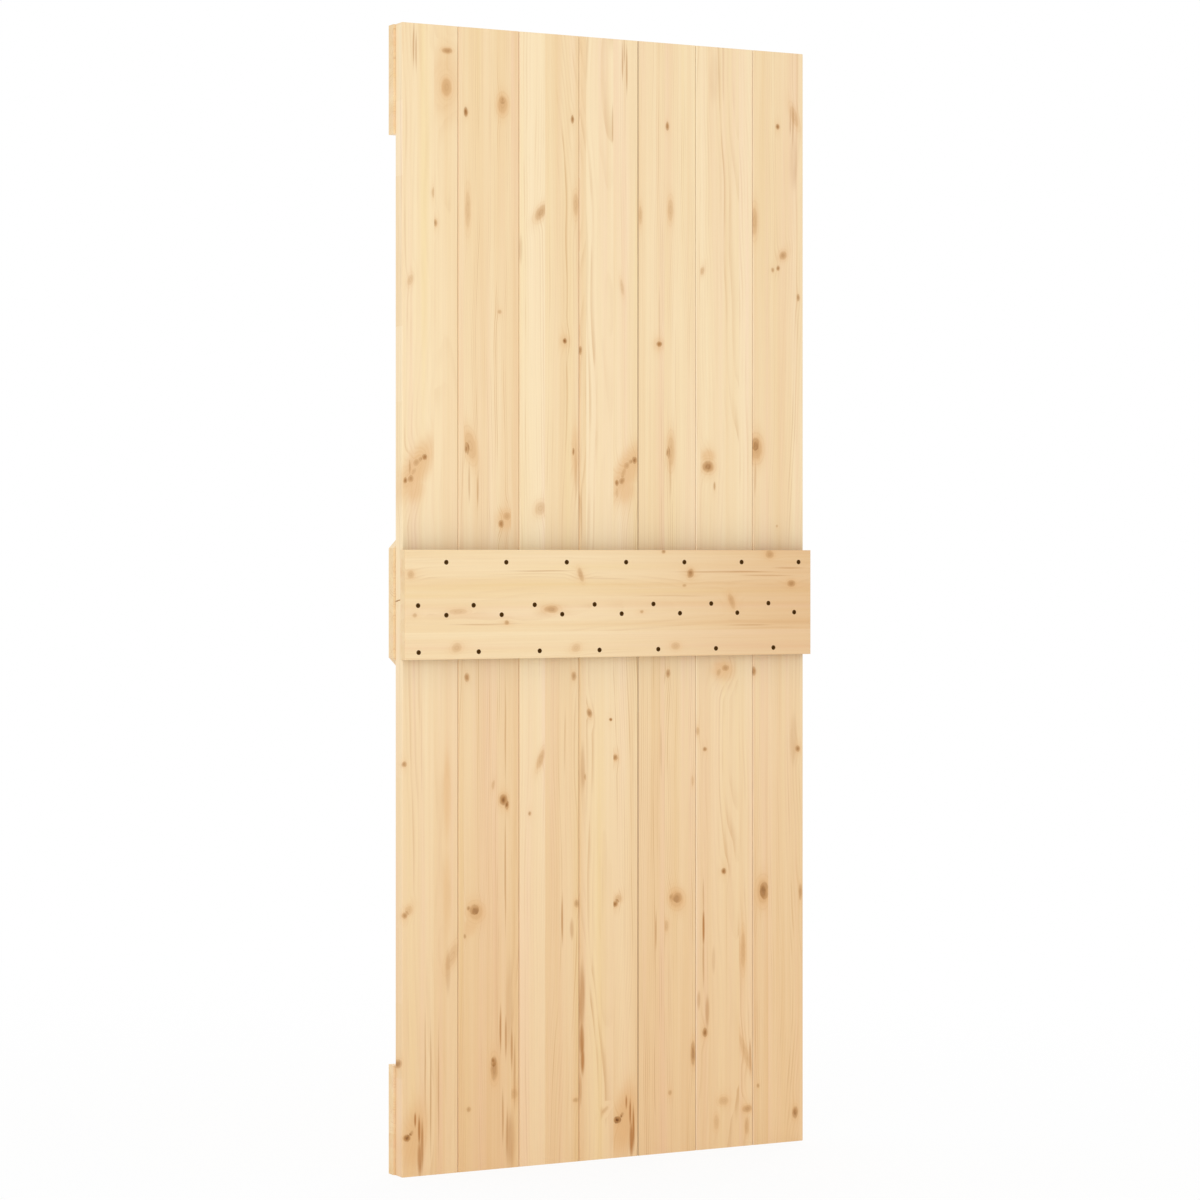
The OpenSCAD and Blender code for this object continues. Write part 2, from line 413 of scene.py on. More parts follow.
def pine(
    name, lay, strips, knots, seed, resin=(), deepens=None, shaded=None, seam=None, lines=1.0
):
    """Planed pine. lay turns the row's axes into (across, into, along) the grain, in metres, from
    the face that the knots are listed on. A strip is (start across, pith across, pith into, ring
    width, depth of tone, blush), in mm. A knot is (across, along, half width, half length,
    darkness, amber, lean in degrees), and a resin streak (across, along, half width, half length,
    strength). The tone deepens along the grain as (from, to, tone, strength), and painted shade
    darkens it on both sides of a rail at (its middle, half its height), in metres. A seam is (tone,
    strength, way of blending) of the edge that looks to the left, where a darker tone is painted
    shade and a paler one painted light, and lines is how clear the rings are."""
    material = bpy.data.materials.new(name)
    material.use_nodes = True
    tree = material.node_tree
    tree.nodes.clear()
    start = Grain(tree)
    wood = lay(start.node("ShaderNodeTexCoord", out="Object"))
    face = lay(start.node("ShaderNodeTexCoord", out="Normal"), turned=True)
    across, into, along = wood.parts()
    leaning = start.xyz(across + into * KNOT_SLANT[0], into, along + into * KNOT_SLANT[1])
    fine, slow, detail, roughness = SHAKES
    shake = leaning.stretch(fine, fine, slow).noise(1.0, detail, roughness, out=1)
    organic = leaning.moved(shake.sway(*KNOT_STRAY))

    pith, tones, push, rims = own_strip(start, across, organic, strips, knots, seed)
    pith_across, pith_into, ring = pith.parts()
    depth, blush, which = tones.parts()
    swell, glow, dark = push.parts()
    near = rims.parts()[0]

    def cloud(figure, out=0):
        """A cloud of noise drawn out along the grain, with its own place in each strip."""
        fine, slow, detail, roughness = figure
        drawn_out = start.xyz(across * fine, into * fine + which, along * slow)
        return drawn_out.noise(1.0, detail, roughness, out)

    # Bands along the grain: one cloud gives the broad changes of tone, of blush and of how clearly
    # the rings show, and a finer one the streaks
    band_tone, band_blush, band_rings = cloud(BANDS, out=1).parts()
    streak_tone, streak_amber = cloud(STREAKS, out=1).parts()[:2]

    # Growth rings: distance from a pith that wanders along the tree, pushed out round each knot.
    # Late wood darkens slowly through a ring and ends sharply, and no two rings are equally strong
    drift = start.xyz(along * PITH_BENDS, which, seed).noise(1.0, 1.5, 0.5, out=1)
    drift_across, drift_into = drift.parts()[:2]
    from_pith = start.xyz(
        across - pith_across - drift_across.swing(PITH_WANDER[0]),
        into - pith_into - drift_into.swing(PITH_WANDER[1]),
        0.0,
    ).far()
    rings = (from_pith + cloud(RIPPLES) * RING_RIPPLE) / ring + swell
    within = rings.maths("FRACT", rings)
    each = (rings.maths("FLOOR", rings) + which).chance()
    fade = cloud(FADES)
    clear = band_rings.ease(*CLEAR_BANDS) * fade.ease(*CLEAR_FADES)
    clear = clear.larger(glow * CLEAR_AT_KNOT) * lines
    late = within.ease(*LATE_RISE) * within.ease(*LATE_DROP)
    late = late * (LATE_LEAST + each * each * LATE_MORE) * clear

    # Fibres, and the faces: an end is sawn across the grain, and a side shows other offcuts' tones
    fine, slow, detail, roughness = FIBRES
    fibres = start.xyz(across * fine, into * fine, along * slow + which)
    fibre, fleck = fibres.noise(1.0, detail, roughness, out=1).parts()[:2]
    fleck = fleck.ease(*FLECKS)
    sideways, _, endways = face.parts()
    end_face = abs(endways).ease(*SQUARELY)
    side_face = abs(sideways).ease(*SQUARELY)
    offcut = along.maths("FLOOR", along * OFFCUTS + seed).chance(out="Color")
    offcut_tone, offcut_blush = offcut.parts()[:2]

    depth = depth + band_tone.swing(BAND_TONES) + streak_tone.swing(STREAK_TONES)
    depth = depth + side_face * (offcut_tone.swing(OFFCUT_TONES) - SIDE_PALER)
    blush = blush + band_blush.swing(BAND_BLUSHES)
    blush = blush + side_face * (offcut_blush.swing(OFFCUT_BLUSHES) + SIDE_BLUSH)
    colour = depth.ease(*TONE_RANGE).tint(PALE_PINE, WARM_PINE)
    colour = blush.ease(0.0, FULL_BLUSH).tint(colour, BLUSHED, "MULTIPLY")
    colour = blush.ease(0.0, -FULL_BLUSH).tint(colour, YELLOWED, "MULTIPLY")
    drawn = late * LATE_DRAWN + streak_amber.ease(*STREAKS_DRAWN)
    colour = drawn.tint(colour, LATE_WOOD)
    colour = colour.dimmed(FIBRE_LOW + fibre * FIBRE_MORE - fleck * FLECK_DEPTH)
    colour = shaded_tone(colour, along, sideways, side_face, deepens, shaded, seam)
    colour = (end_face * END_TONE).tint(colour, END_GRAIN, "MULTIPLY")

    # Knots and resin: amber wood round each knot, resin streaks over it, then the golden-brown core
    # with its own rings, and the darker heart and traces of bark
    if knots:
        circles = near.maths("PINGPONG", near, KNOT_RING).ease(*KNOT_RING_DRAWN)
        circles = circles * near.ease(*KNOT_RINGS_OUT)
        colour = (glow * HALO_TONE).tint(colour, KNOT_HALO)
        colour = (circles * glow ** 0.6 * KNOT_RINGS_TONE).tint(colour, LATE_WOOD)
    if resin:
        bends = start.xyz(across * STREAK_BENDS, which, along * STREAK_BENDS)
        wander = bends.noise(1.0, 1.0, 0.5, out=1)
        soaked = resin_streaks(wood, wander, resin)
        colour = (soaked * fade.ease(*RESIN_FADES)).tint(colour, RESIN)
    if knots:
        patchy = shake.parts()[1].ease(*PATCHES)
        own_rings = near.maths("PINGPONG", near, CORE_RING)
        strength = CORE_LEAST + dark * CORE_BY_DARKNESS - own_rings * CORE_RINGS_TONE
        core = near.ease(*CORE_REACH) * strength
        bark = near.ease(*BARK_IN) * near.ease(*BARK_OUT) * patchy * BARK_TONE
        heart = near.ease(*HEART_REACH) * (HEART_LEAST + patchy * HEART_MORE)
        colour = core.tint(colour, KNOT_WOOD)
        colour = ((dark - CORE_LEAST) * (bark + heart)).tint(colour, KNOT_DARK)

    bumps = late * LATE_RELIEF + fibre * FIBRE_RELIEF
    relief = {"Strength": RELIEF_STRENGTH, "Distance": RELIEF_DEPTH, "Height": bumps}
    look = {
        "Base Color": colour,
        "Roughness": ROUGH_LEAST + fibre * ROUGH_MORE,
        "Normal": start.node("ShaderNodeBump", None, relief),
        **SATIN,
    }
    surface = start.node("ShaderNodeBsdfPrincipled", None, look)
    start.node("ShaderNodeOutputMaterial", None, {"Surface": surface})
    return material


back_of_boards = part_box("board_1")[0].y
rail_low, rail_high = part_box("back_rail")
rail_middle = (rail_low.z + rail_high.z) / 2
rail_height = rail_high.z - rail_low.z


def upright(place, turned=False):
    """The boards' grain runs up, and depth is counted from their back."""
    return place if turned else place.moved((0.0, -back_of_boards, 0.0))


def dress(node, material):
    slots = nodes[node].data.materials
    if not slots:
        slots.append(material)
    for slot in range(len(slots)):
        slots[slot] = material


BOARDS = {
    "board_1": {
        "lower": 0.85,
        "strips": [
            (-430, -350, 85, 4.4, 0.34, 0.0),
            (-361, -338, 62, 5.0, 0.38, 0.15),
        ],
        "resin": [
            (-402, 60, 1.2, 48, 0.5),
            (-397, 48, 1.0, 44, 0.45),
            (-399, -1897, 1.3, 16, 0.85),
            (-391, -1918, 1.9, 34, 0.8),
            (-385, -1945, 1.9, 55, 0.85),
            (-390, -1968, 3.8, 40, 0.75),
            (-368, -1850, 0.9, 140, 0.45),
            (-352, -1840, 0.9, 150, 0.42),
            (-379, -1790, 0.8, 110, 0.35),
            (-333, -1630, 4.0, 50, 0.22),
        ],
        "knots": [
            (-336, -13, 8.6, 14.0, 0.2, 1.0, 0),
            (-336, -4, 20.0, 40.0, 0.0, 0.5, 0),
            (-335, 54, 9.0, 4.4, 0.45, 0.8, 0),
            (-359, -262, 3.8, 5.6, 0.4, 0.6, 0),
            (-363, -207, 2.6, 9.0, 0.2, 0.3, 0),
            (-409, -368, 5.0, 9.1, 0.1, 0.3, 20),
            (-419, -733, 3.6, 4.8, 0.72, 0.7, 0),
            (-408, -730, 4.8, 5.8, 0.46, 0.9, 20),
            (-410, -708, 1.8, 12.0, 0.3, 0.5, 0),
            (-402, -716, 3.6, 5.4, 0.15, 0.9, 30),
            (-397, -700, 5.2, 5.8, 0.30, 0.9, 30),
            (-389, -694, 3.4, 3.8, 0.18, 0.8, 0),
            (-380, -690, 4.6, 4.8, 0.72, 0.8, 0),
            (-335, -1305, 4.5, 45.0, 0.0, 0.62, 0),
            (-335, -1490, 5.0, 42.0, 0.0, 0.5, 0),
            (-396, -712, 15.0, 36.0, 0.0, 0.95, 28),
            (-402, -744, 13.0, 17.0, 0.0, 0.85, 0),
            (-400, -1929, 15.0, 38.0, 0.0, 1.0, 10),
            (-421, -1249, 4.0, 4.7, 0.5, 0.4, 0),
            (-430, -949, 5.0, 1.0, 0.95, 0.2, 0),
            (-430, -1793, 4.0, 7.0, 0.6, 0.5, 0),
            (-420, -1524, 4.6, 4.6, 0.5, 0.7, 0),
            (-412, -1515, 6.0, 7.0, 0.05, 0.6, 30),
            (-416, -1929, 6.4, 5.6, 1.3, 0.9, 0),
            (-407, -1921, 3.2, 4.6, 0.4, 0.7, 30),
            (-325, -1604, 8.0, 22.0, 0.06, 0.4, 25),
        ],
    },
    "board_2": {
        "lower": 1.0,
        "strips": [
            (-320, -400, 60, 4.0, 0.50, 0.2),
            (-301.5, -120, 40, 3.6, 0.48, 0.25),
            (-204, -222, 66, 4.6, 0.62, 0.2),
        ],
        "resin": [
            (-216, -1200, 0.9, 130, 0.38),
            (-216, -1450, 0.9, 130, 0.42),
            (-226, -1742, 1.3, 52, 0.6),
            (-215, -1758, 1.5, 50, 0.5),
            (-203, -1780, 1.7, 50, 0.5),
            (-208, -1700, 7.0, 110, 0.16),
            (-206, -1950, 9.0, 64, 0.34),
            (-213, -1935, 1.4, 58, 0.5),
            (-222, -1905, 1.2, 60, 0.42),
            (-197, -1830, 1.6, 80, 0.34),
            (-290, -735, 1.3, 45, 0.35),
            (-273, -750, 1.2, 35, 0.35),
        ],
        "knots": [
            (-222, -38, 8.5, 14.0, 0.12, 0.9, 0),
            (-222, -28, 4.0, 4.4, 0.35, 0.3, 0),
            (-297, -56, 3.8, 7.8, 0.8, 0.3, 0),
            (-293, -235, 5.0, 30.0, 0.08, 0.4, 0),
            (-228, -420, 3.7, 3.3, 0.25, 0.3, 0),
            (-296, -674, 3.2, 6.6, 0.6, 0.4, 0),
            (-288, -668, 9.0, 22.0, 0.04, 0.8, -12),
            (-225, -811, 4.6, 6.3, 0.65, 0.8, 0),
            (-213, -797, 6.6, 6.2, 0.25, 0.8, 20),
            (-214, -802, 13.0, 12.0, 0.0, 0.75, 30),
            (-295, -1093, 4.6, 7.4, 0.6, 0.3, 0),
            (-220, -1320, 7.0, 8.6, 0.85, 0.9, 0),
            (-213, -1330, 3.6, 7.0, 0.5, 0.8, 0),
            (-241, -1292, 2.9, 7.5, 0.15, 0.3, 10),
            (-277, -1524, 12.0, 12.5, 0.10, 0.9, -20),
            (-280, -1520, 5.4, 5.2, 0.60, 0.5, 0),
            (-292, -1517, 3.0, 4.0, 0.45, 0.5, 0),
            (-287, -1548, 9.0, 15.0, 0.0, 0.6, 35),
            (-299, -1568, 3.0, 4.2, 0.4, 0.4, 0),
            (-239, -1815, 6.4, 19.0, 0.45, 0.8, 0),
            (-241, -1800, 3.6, 6.0, 0.8, 0.4, 0),
            (-200, -1864, 8.2, 8.4, 0.15, 0.5, 0),
            (-291, -1886, 4.2, 4.2, 0.35, 0.3, 0),
        ],
    },
    "board_3": {
        "lower": 0.9,
        "strips": [
            (-195, -290, 70, 4.8, 0.0, 0.15),
            (-134, -20, 98, 3.6, 0.44, 0.1),
        ],
        "resin": [
            (-98, -1545, 1.3, 58, 0.6),
            (-78, -1566, 3.4, 24, 0.3),
            (-70, -712, 2.4, 60, 0.2),
            (-184, -304, 2.6, 34, 0.26),
            (-93, -1215, 1.2, 70, 0.3),
        ],
        "knots": [
            (-143, -233, 7.5, 14.5, 0.3, 0.6, 35),
            (-77, -56, 2.9, 7.0, 0.65, 0.3, 0),
            (-70, -215, 5.0, 18.0, 0.15, 0.5, 0),
            (-93, -470, 3.4, 4.6, 0.85, 0.5, 0),
            (-93, -470, 7.5, 8.5, 0.0, 0.5, 0),
            (-75, -676, 2.0, 6.5, 0.65, 0.5, 0),
            (-71, -678, 5.0, 30.0, 0.0, 0.65, 0),
            (-144, -782, 9.4, 11.1, 0.12, 0.4, 30),
            (-74, -1094, 4.4, 7.6, 0.45, 0.4, 0),
            (-143, -1247, 5.2, 16.0, 0.22, 0.6, 20),
            (-166, -1347, 3.0, 3.6, 0.45, 0.3, 0),
            (-68, -1519, 4.6, 6.3, 0.35, 0.5, 0),
            (-70, -1885, 5.2, 4.1, 0.3, 0.4, 0),
        ],
    },
    "board_4": {
        "lower": 0.85,
        "strips": [
            (-70, -20, 120, 4.0, 0.46, 0.05),
            (-48, 2, 60, 5.2, 0.14, 0.0),
            (9.5, 120, 46, 4.4, 0.28, 0.0),
        ],
        "resin": [
            (29, 62, 1.2, 46, 0.5),
            (38, 45, 1.3, 55, 0.45),
            (33, 80, 1.0, 34, 0.4),
            (36.6, -1897, 1.4, 16, 0.85),
            (45, -1918, 1.6, 32, 0.8),
            (52, -1945, 1.6, 50, 0.75),
            (47.5, -1967, 3.6, 42, 0.75),
            (-57, -1700, 5.0, 85, 0.52),
            (-57, -1775, 3.8, 50, 0.8),
            (-56, -1812, 3.5, 34, 0.75),
            (-60, -1865, 2.0, 40, 0.4),
            (-55, -1265, 4.0, 55, 0.28),
            (-58, -800, 1.2, 60, 0.35),
            (8, -60, 1.0, 45, 0.3),
        ],
        "knots": [
            (-60, -486, 2.5, 7.2, 0.55, 0.3, 0),
            (28, -365, 3.6, 13.0, 0.1, 0.3, -10),
            (55, -690, 4.6, 5.8, 0.66, 0.9, 0),
            (46, -693, 3.4, 4.0, 0.20, 0.8, 0),
            (38, -700, 4.8, 6.0, 0.30, 0.9, 30),
            (31, -714, 3.6, 7.5, 0.20, 0.6, 20),
            (28, -729, 4.8, 5.6, 0.50, 0.9, 20),
            (17, -733, 3.6, 5.2, 0.66, 0.8, 0),
            (17, -752, 2.8, 8.0, 0.10, 0.5, 0),
            (39, -712, 15.0, 36.0, 0.0, 0.95, 28),
            (34, -743, 13.0, 17.0, 0.0, 0.85, 0),
            (35, -1930, 16.0, 40.0, 0.0, 1.15, 10),
            (-41, -1164, 4.6, 7.6, 0.55, 0.5, -20),
            (4, -1177, 3.0, 2.8, 0.85, 0.2, 0),
            (13, -1249, 5.2, 4.6, 0.6, 0.9, 0),
            (-50, -1283, 2.1, 4.9, 0.3, 0.3, 0),
            (13, -1523, 5.4, 4.8, 0.75, 0.8, 0),
            (20, -1514, 6.0, 6.0, 0.1, 0.6, 40),
            (18, -1929, 6.8, 6.0, 1.45, 0.9, 0),
            (28, -1920, 3.2, 4.6, 0.4, 0.7, 30),
            (-8, -1908, 3.4, 7.5, 0.12, 0.3, 50),
        ],
    },
    "board_5": {
        "lower": 1.0,
        # Painted shade on the edge at this seam, for a wider seam's deeper shadow
        "seam": (PAINTED_SEAM_SHADE, 0.42, "MULTIPLY"),
        "strips": [
            (60, -60, 60, 3.8, 0.36, 0.2),
            (119, 260, 50, 3.6, 0.38, 0.1),
        ],
        "resin": [
            (101, -1578, 1.0, 45, 0.4),
            (131, -720, 1.6, 55, 0.3),
            (108, -420, 1.2, 70, 0.25),
            (112, -1240, 1.4, 60, 0.22),
        ],
        "knots": [
            (125, -56, 3.2, 7.4, 0.65, 0.3, 0),
            (67, -228, 3.4, 15.1, 0.15, 0.4, 0),
            (132, -215, 5.2, 18.0, 0.1, 0.5, 0),
            (108, -470, 5.2, 4.6, 0.8, 0.7, 0),
            (108, -470, 9.0, 8.0, 0.0, 0.5, 0),
            (126, -674, 2.8, 7.0, 0.45, 0.4, 0),
            (133, -672, 6.5, 24.0, 0.05, 0.7, 0),
            (127, -1092, 3.8, 7.4, 0.5, 0.3, 0),
            (145, -1520, 12.0, 13.0, 0.06, 1.0, -20),
            (147, -1518, 5.2, 5.2, 0.46, 0.5, 0),
            (133, -1516, 3.0, 5.0, 0.4, 0.5, 0),
            (123, -1570, 4.6, 9.5, 0.15, 0.4, 0),
            (131, -1886, 3.6, 4.2, 0.3, 0.4, 0),
            (181, -1815, 4.6, 20.5, 0.55, 0.6, 0),
            (180, -1297, 2.8, 9.0, 0.12, 0.3, 0),
        ],
    },
    "board_6": {
        "lower": 1.0,
        # Painted light on the edge at this seam, to soften its dark line
        "seam": (PAINTED_SEAM_LIGHT, 0.42, "MIX"),
        "strips": [
            (185, 130, 50, 3.8, 0.30, 0.15),
            (197, 290, 80, 4.8, 0.26, 0.05),
            (282, 350, 90, 4.2, 0.20, 0.25),
        ],
        "resin": [
            (203.5, -1578, 1.8, 45, 0.85),
            (203.5, -1640, 1.3, 62, 0.5),
            (203.5, -1520, 1.0, 45, 0.35),
            (212, -1738, 3.6, 38, 0.38),
            (193, -1715, 3.0, 22, 0.3),
            (226, -1640, 3.0, 32, 0.25),
            (307, -1830, 1.8, 40, 0.4),
            (226, 40, 9.0, 60, 0.12),
        ],
        "knots": [
            (214, -700, 10.5, 9.2, 0.6, 0.9, 0),
            (214, -681, 10.0, 8.5, 0.0, 0.85, 0),
            (228, -737, 2.2, 7.6, 0.4, 0.2, 0),
            (201, -328, 4.4, 7.0, 0.2, 0.4, 20),
            (252, -1084, 7.0, 5.0, 0.38, 0.9, 0),
            (237, -1092, 4.0, 6.0, 0.22, 0.7, 20),
            (247, -1088, 16.0, 12.0, 0.0, 0.8, 0),
            (207, -1238, 3.9, 3.6, 0.55, 0.4, 0),
            (191, -1203, 3.4, 7.0, 0.2, 0.5, 0),
            (248, -1472, 4.6, 5.0, 0.8, 0.5, 0),
            (207, -1777, 4.8, 7.4, 0.75, 0.7, 0),
            (248, -1910, 9.5, 6.9, 0.12, 0.6, 0),
            (232, -1950, 5.0, 12.0, 0.06, 0.5, 0),
            (291, -1625, 4.6, 30.0, 0.15, 0.8, 0),
            (296, -1822, 5.4, 34.0, 0.08, 0.5, -20),
            (300, -1929, 9.0, 6.0, 0.35, 0.8, 0),
            (299, -1962, 4.4, 14.0, 0.2, 0.6, 0),
        ],
    },
    "board_7": {
        "lower": 1.0,
        # Painted light on the edge at this seam, to soften its dark line
        "seam": (PAINTED_SEAM_LIGHT, 0.30, "MIX"),
        "strips": [
            (305, 230, 60, 3.4, 0.50, 0.3),
            (347, 470, 70, 4.2, 0.38, 0.15),
        ],
        "resin": [
            (402, -45, 1.4, 60, 0.45),
            (396, -35, 1.2, 30, 0.4),
            (404, -110, 7.0, 65, 0.22),
            (404, -1225, 7.0, 60, 0.2),
            (318, -720, 1.6, 40, 0.25),
        ],
        "knots": [
            (368, -44, 3.6, 5.4, 0.7, 0.4, 0),
            (316, -228, 6.0, 23.0, 0.2, 0.6, 0),
            (405, -22, 6.0, 18.0, 0.08, 0.5, -20),
            (380, -291, 6.6, 7.6, 0.4, 0.6, 35),
            (369, -316, 3.2, 4.6, 0.6, 0.3, 0),
            (357, -320, 3.0, 4.0, 0.4, 0.3, 0),
            (414, -371, 3.0, 6.6, 0.45, 0.3, 0),
            (320, -664, 11.0, 18.0, 0.22, 1.0, 0),
            (318, -655, 4.4, 7.0, 0.6, 0.6, 0),
            (366, -812, 2.2, 2.7, 0.25, 0.1, 0),
            (315, -1091, 4.6, 7.4, 0.62, 0.3, 0),
            (413, -1242, 4.4, 5.6, 0.55, 0.7, 0),
            (335, -1515, 11.0, 20.0, 0.12, 1.0, 0),
            (338, -1513, 5.4, 9.0, 0.7, 0.6, 0),
            (419, -1519, 3.4, 14.0, 0.4, 0.4, 0),
            (407, -1944, 5.4, 10.0, 0.65, 0.7, 0),
            (324, -1887, 2.9, 4.0, 0.45, 0.3, 0),
        ],
    },
}

# The tone of the boards deepens from here down to here, in metres, partly as a warmer tone of the
# wood and partly as painted shade where the light falls off towards the foot, and each is cut from
# its own place in the noise
PALE_END, DEEP_END = -0.50, -1.95
BOARD_STEP = 5.3

for number, (board, facts) in enumerate(BOARDS.items(), 1):
    timber = pine(
        "pine_" + board,
        upright,
        facts["strips"],
        facts["knots"],
        seed=number * BOARD_STEP,
        resin=facts["resin"],
        deepens=(PALE_END, DEEP_END, LOWER_TONE_AND_SHADE, facts["lower"]),
        shaded=(rail_middle, rail_height / 2),
        seam=facts.get("seam"),
    )
    dress(board, timber)

# The rails and braces of the wall side. They are the same planed pine, laid across the boards: the
# rails lie level and the two braces are mitred between them.


def level(place, turned=False):
    """The rails' grain runs level, and depth is counted from their outer face."""
    x, y, z = place.parts()
    return place.xyz(z, 0.0 - y, x)


FRONT_RAILS = {
    "top_rail": (
        [(-110, -190, 60, 4.4, 0.36, 0.1), (22, 60, 74, 4.8, 0.45, 0.1)],
        [
            (40, -180, 7, 9, 0.5, 0.9, 10),
            (-46, 230, 5, 7, 0.7, 0.6, 0),
            (70, 330, 4, 5, 0.4, 0.4, 0),
        ],
    ),
    "middle_rail": (
        [(-1070, -1010, 60, 4.8, 0.42, 0.15), (-975, -880, 70, 4.2, 0.38, 0.0)],
        [
            (-930, -250, 6, 10, 0.6, 0.8, 0),
            (-1010, 120, 8, 8, 0.4, 0.9, 15),
            (-905, 350, 3, 5, 0.6, 0.3, 0),
        ],
    ),
    "bottom_rail": (
        [(-2010, -1960, 64, 4.8, 0.70, 0.25), (-1925, -1770, 60, 4.2, 0.46, 0.15)],
        [
            (-1850, -90, 7, 8, 0.5, 0.8, 0),
            (-1945, 260, 5, 9, 0.6, 0.6, -10),
            (-1890, -340, 4, 5, 0.7, 0.3, 0),
        ],
    ),
}

# Where in the noise the rails and braces are cut from: the first place, and the step to the next
RAIL_START, RAIL_STEP = 40, 4.1
BRACE_START, BRACE_STEP = 70, 6.7

for number, (rail, (strips, knots)) in enumerate(FRONT_RAILS.items(), 1):
    seed = RAIL_START + number * RAIL_STEP
    dress(rail, pine("pine_" + rail, level, strips, knots, seed))

# How steeply a brace climbs, between its mitred ends
BRACE_RISE = 750 * MM
BRACE_RUN = 704 * MM
BRACE_LEAN = math.pi / 2 - math.atan2(BRACE_RISE, BRACE_RUN)


def along_brace(brace, lean):
    low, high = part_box(brace)
    middle = (low.z + high.z) / 2

    def lay(place, turned=False):
        """A brace's grain runs along it, from its own middle."""
        centre = (0.0, 0.0, 0.0 if turned else middle)
        return place.seen_from(centre, (0.0, lean, 0.0), (1.0, 1.0, 1.0))

    return lay


BRACES = {
    "upper_brace": (
        BRACE_LEAN,
        [(-70, -150, 80, 4.2, 0.35, 0.1), (8, 30, 66, 4.6, 0.42, 0.0)],
        [
            (-20, -210, 6, 10, 0.55, 0.9, 0),
            (26, 90, 4, 7, 0.6, 0.5, 10),
            (-32, 330, 5, 6, 0.4, 0.6, 0),
        ],
    ),
    "lower_brace": (
        -BRACE_LEAN,
        [(-70, 180, 70, 4.0, 0.5, 0.2), (-4, 20, 60, 4.8, 0.42, 0.05)],
        [
            (18, -300, 5, 8, 0.6, 0.7, 0),
            (-28, 40, 7, 11, 0.45, 0.9, -8),
            (24, 280, 3, 5, 0.6, 0.3, 0),
        ],
    ),
}

for number, (brace, (lean, strips, knots)) in enumerate(BRACES.items(), 1):
    seed = BRACE_START + number * BRACE_STEP
    dress(brace, pine("pine_" + brace, along_brace(brace, lean), strips, knots, seed))

# The back rail, one wide pine board screwed across the middle of the boards. Its grain runs level,
# and its knots are the small round and slanting ones of a plain-sawn board.

# Its tone deepens to this one between these two places along it, in metres
FAR_RAIL_TONE = (0.88, 0.765, 0.68, 1.0)
RAIL_PALE_END, RAIL_DEEP_END = -0.16, 0.46

# Where in the noise it is cut from
BACK_RAIL_START = 91.0

rail_face = rail_low.y


def level_behind(place, turned=False):
    """The back rail's grain runs level, and depth is counted from its own outer face."""
    x, y, z = place.parts()
    return place.xyz(z, y if turned else y - rail_face, x)


dress(
    "back_rail",
    pine(
        "pine_back_rail",
        level_behind,
        [(-1070, -1130, 66, 3.8, 0.40, 0.1), (-1010, -965, 90, 4.4, 0.46, 0.15)],
        [
            (-904, -418, 6.2, 6.0, 0.2, 0.5, 0),
            (-978, -410, 3.6, 4.0, 0.25, 0.3, 0),
            (-972, -323, 4.7, 16.2, 0.1, 0.4, 0),
            (-905, -71, 11.2, 4.6, 0.3, 0.5, 20),
            (-969, -132, 5.9, 12.5, 0.35, 0.7, 0),
            (-993, -224, 3.7, 4.1, 0.4, 0.5, 0),
            (-1038, -326, 7.3, 9.1, 0.15, 0.4, 20),
            (-1041, -81, 6.7, 8.4, 0.1, 0.4, 20),
            (-903, 163, 7.6, 6.1, 0.6, 0.7, -15),
            (-862, 105, 3.4, 3.9, 0.5, 0.3, 0),
            (-867, 337, 6.9, 7.6, 0.35, 0.7, 0),
            (-923, 385, 5.8, 7.6, 0.55, 0.8, 0),
            (-956, 253, 13.3, 5.3, 0.25, 0.6, 20),
            (-926, 150, 2.3, 3.5, 0.3, 0.3, 0),
            (-975, 58, 2.6, 3.4, 0.35, 0.4, 0),
            (-1040, 131, 6.4, 8.6, 0.15, 0.4, 0),
        ],
        seed=BACK_RAIL_START,
        resin=[
            (-900, 240, 1.1, 130, 0.42),
            (-907, 330, 0.9, 70, 0.3),
            (-898, -150, 0.9, 80, 0.24),
            (-912, -20, 0.8, 60, 0.2),
            (-892, 380, 1.2, 40, 0.3),
            (-995, -260, 0.9, 90, 0.24),
            (-945, 120, 0.8, 90, 0.18),
            (-1002, 290, 0.9, 60, 0.25),
        ],
        deepens=(RAIL_PALE_END, RAIL_DEEP_END, FAR_RAIL_TONE, 1.0),
        lines=0.5,
    ),
)

# The screws of the back rail: blackened steel with a countersunk head and a cross recess, driven a
# little below the face in four rows, one of each row in every board.

HALF_SEAM = 0.4 * MM
ROW_SHARES = [0.386, -0.007, -0.096, -0.433]
FIRST_SHARES = [0.195, -0.308, 0.196, -0.298]
INNER_SHARES = [0.2, -0.333, 0.124, -0.25]
LAST_SHARES = [0.292, -0.306, 0.205, -0.207]
board_shares = [FIRST_SHARES] + [INNER_SHARES] * (len(BOARDS) - 2) + [LAST_SHARES]

first_edge, last_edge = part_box("board_1")[0].x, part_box("board_7")[1].x
inner_edges = [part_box(board)[0].x - HALF_SEAM for board in list(BOARDS)[1:]]
edges = [first_edge, *inner_edges, last_edge]
screw_points = []
for left, right, shares in zip(edges, edges[1:], board_shares):
    for row, share in zip(ROW_SHARES, shares):
        x = (left + right) / 2 + (right - left) * share
        screw_points.append((x, rail_face, rail_middle + rail_height * row))

BLACKENED = (0.085, 0.038, 0.008, 1.0)
RUBBED = (0.170, 0.080, 0.020, 1.0)

# Rub marks: how many there are a metre, how detailed they are, where they begin to show and how
# much rougher than the rest they are
RUB_MARKS, RUB_DETAIL = 900.0, 3.0
RUBBED_FROM = (0.35, 0.75)
STEEL_ROUGH, RUB_ROUGHER = 0.55, 0.2

